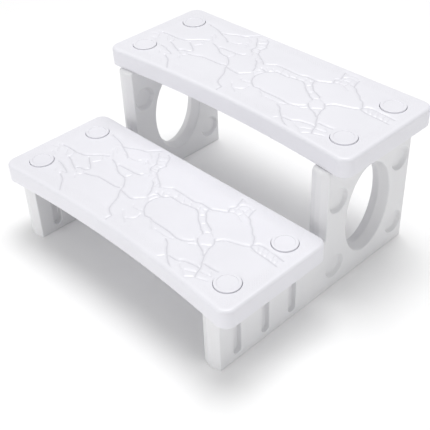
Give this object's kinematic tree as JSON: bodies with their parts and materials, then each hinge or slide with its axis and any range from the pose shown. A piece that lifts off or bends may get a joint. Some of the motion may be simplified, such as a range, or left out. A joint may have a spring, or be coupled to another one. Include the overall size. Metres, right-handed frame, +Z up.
{
  "type": "spa steps",
  "caption": "Two-step spa steps: two flat stone-patterned treads with an inward-curved front edge, screwed onto two hollow L-shaped side panels with an oval opening.",
  "frame": {"origin": "on the floor, in the middle of the footprint", "axes": "+X along the treads, +Y towards the spa (the high tread), +Z up"},
  "size_m": [0.78, 0.67, 0.388],
  "materials": {
    "tread_plastic": "satin moulded white, stone relief on top",
    "panel_plastic": "matte moulded white",
    "cap_plastic": "smooth moulded white",
    "fastener_steel": "zinc plated"
  },
  "bodies": {
    "root": {"left_side_panel": "panel_plastic", "right_side_panel": "panel_plastic", "lower_tread": "tread_plastic", "lower_front_left_cap": "cap_plastic", "lower_front_left_washer": "fastener_steel", "lower_front_left_screw": "fastener_steel", "lower_rear_left_cap": "cap_plastic", "lower_rear_left_washer": "fastener_steel", "lower_rear_left_screw": "fastener_steel", "lower_front_right_cap": "cap_plastic", "lower_front_right_washer": "fastener_steel", "lower_front_right_screw": "fastener_steel", "lower_rear_right_cap": "cap_plastic", "lower_rear_right_washer": "fastener_steel", "lower_rear_right_screw": "fastener_steel", "upper_tread": "tread_plastic", "upper_front_left_cap": "cap_plastic", "upper_front_left_washer": "fastener_steel", "upper_front_left_screw": "fastener_steel", "upper_rear_left_cap": "cap_plastic", "upper_rear_left_washer": "fastener_steel", "upper_rear_left_screw": "fastener_steel", "upper_front_right_cap": "cap_plastic", "upper_front_right_washer": "fastener_steel", "upper_front_right_screw": "fastener_steel", "upper_rear_right_cap": "cap_plastic", "upper_rear_right_washer": "fastener_steel", "upper_rear_right_screw": "fastener_steel"}
  },
  "joints": []
}
